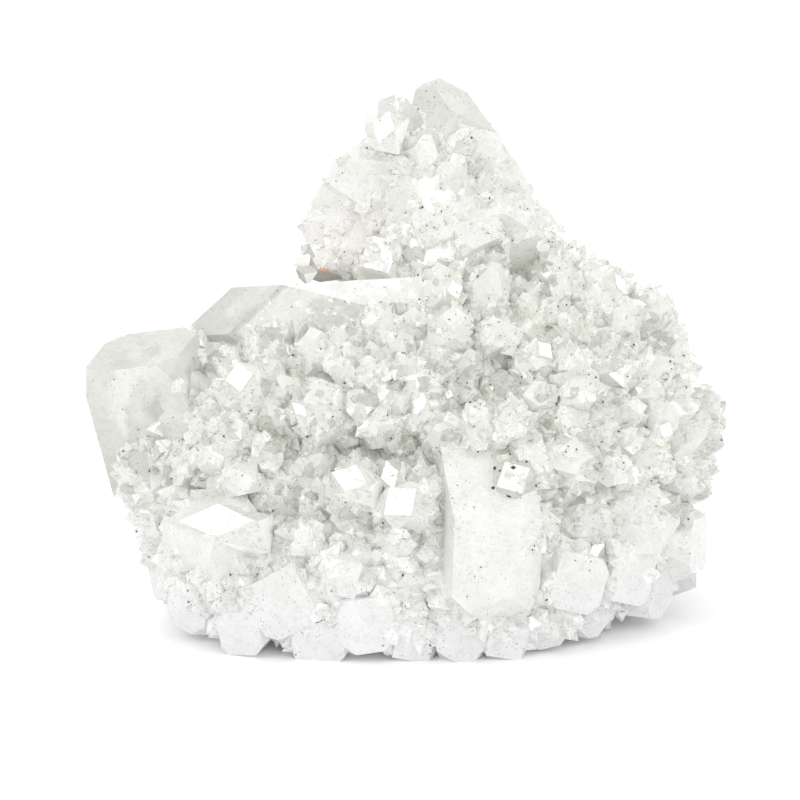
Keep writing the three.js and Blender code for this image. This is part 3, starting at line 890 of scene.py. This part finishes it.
DARK_REFRACTION_TURN = 0.4  # scatter of the grains along the ring, in radians
DARK_REFRACTION_DEPTH = 0.6 * MM  # and their scatter out of its plane
CLAY_AND_REFRACTED_DARK = ((0.012, 0.01, 0.008), (0.13, 0.085, 0.04))
RUST = ((0.58, 0.2, 0.14), (0.76, 0.38, 0.3))
RUST_PLACE = np.array((-13.7, 0.0, 55.3)) * MM  # one grain of iron rust on the peak's left side
RUST_RADII = np.array((0.65, 0.4, 0.45)) * MM
OCTAHEDRON = np.array([(1, 0, 0), (-1, 0, 0), (0, 1, 0), (0, -1, 0), (0, 0, 1), (0, 0, -1)], float)
OCTAHEDRON_FACES = np.array(
    [(0, 2, 4), (2, 1, 4), (1, 3, 4), (3, 0, 4), (2, 0, 5), (1, 2, 5), (3, 1, 5), (0, 3, 5)]
)


def grain_material(name, dark, light):
    """A matt earth that goes from a dark to a light colour from grain to grain."""
    material = bpy.data.materials.new(name)
    tree = nodes_of(material)
    colour = blended(tree, noise(tree, 900.0, 2.0), (*dark, 1), (*light, 1))
    shader = add(tree, "ShaderNodeBsdfPrincipled", {"Base Color": colour, "Roughness": 0.75})
    add(tree, "ShaderNodeOutputMaterial", {"Surface": shader.outputs[0]})
    return material


def grains(places, frames, radii):
    """Octahedra as an array of corners, 6 for each: the unit octahedron stretched along its own frame."""
    return places[:, None] + np.einsum("nvi,nij->nvj", OCTAHEDRON * radii[:, None], frames)


def settled_grit():
    """Grains and threads on the lower sides of the druse crystals: each sits at a seed, plus a lift along
    the axis, plus a reach at right angles to it. The reach is the crystal's own half width at that lift,
    which is the smaller of the prism's and the point's. The threads lie along the seam."""
    total = GRAINS + THREADS
    host = rng.integers(0, len(seeds), total)
    side, other = frames_along(axis[host], rng.uniform(0, 2 * math.pi, total))
    lift = above[host] * rng.uniform(0.0, GRIT_LIFT, total)
    half_width_there = np.minimum(half_width[host], POINT_STEEPNESS * (above[host] - lift))
    reach = half_width_there * rng.uniform(*GRIT_DEPTH, total)
    places = seeds[host] + side * reach[:, None] + axis[host] * lift[:, None]
    is_thread = np.arange(total) < THREADS
    radius = rng.uniform(*GRAIN_RADIUS, total)
    thread_length = rng.uniform(*THREAD_LENGTH, total)
    length = np.where(is_thread, thread_length, radius * rng.uniform(*GRAIN_STRETCH, total))
    width = np.where(is_thread, THREAD_RADIUS, radius)
    frames = np.stack([side, other, axis[host]], 1)
    corners = grains(places, frames, np.stack([width, length, width], 1) * MM)
    rust = grains(RUST_PLACE[None], np.eye(3)[None], RUST_RADII[None])
    corners = np.concatenate([corners, dark_refraction_grains(), rust])
    return corners[fits_the_box(corners)]


def dark_refraction_grains():
    """Coarse dark grains on a ring round a middle, in the plane that faces the front: a painted reflection,
    seen as dark facets through the clear crystal there.
    """
    even = np.arange(DARK_REFRACTION_GRAINS) * 2 * math.pi / DARK_REFRACTION_GRAINS
    turn = even + rng.uniform(-DARK_REFRACTION_TURN, DARK_REFRACTION_TURN, DARK_REFRACTION_GRAINS)
    reach = rng.uniform(*DARK_REFRACTION_REACH, DARK_REFRACTION_GRAINS) * MM
    depth = rng.uniform(-DARK_REFRACTION_DEPTH, DARK_REFRACTION_DEPTH, DARK_REFRACTION_GRAINS)
    ring = np.column_stack([np.cos(turn) * reach, depth, np.sin(turn) * reach])
    frames = np.repeat(np.eye(3)[None], DARK_REFRACTION_GRAINS, axis=0)
    return grains(DARK_REFRACTION_MIDDLE + ring, frames, rng.uniform(*DARK_REFRACTION_RADIUS, (DARK_REFRACTION_GRAINS, 3)) * MM)


grit_corners = settled_grit()
grit_mesh = bpy.data.meshes.new("grit")
grit_faces = repeated_faces(OCTAHEDRON_FACES, len(grit_corners), len(OCTAHEDRON))
grit_mesh.from_pydata(grit_corners.reshape(-1, 3).tolist(), [], grit_faces)
# The clay colours the grit and also the ring of dark grains, which is a painted reflection.
grit_mesh.materials.append(grain_material("clay", *CLAY_AND_REFRACTED_DARK))
grit_mesh.materials.append(grain_material("rust", *RUST))
is_rust = np.arange(len(grit_mesh.polygons)) >= len(grit_mesh.polygons) - len(OCTAHEDRON_FACES)
grit_mesh.polygons.foreach_set("material_index", is_rust.astype(np.int32))
grit = new_object("grit", grit_mesh)
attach(grit, "root")
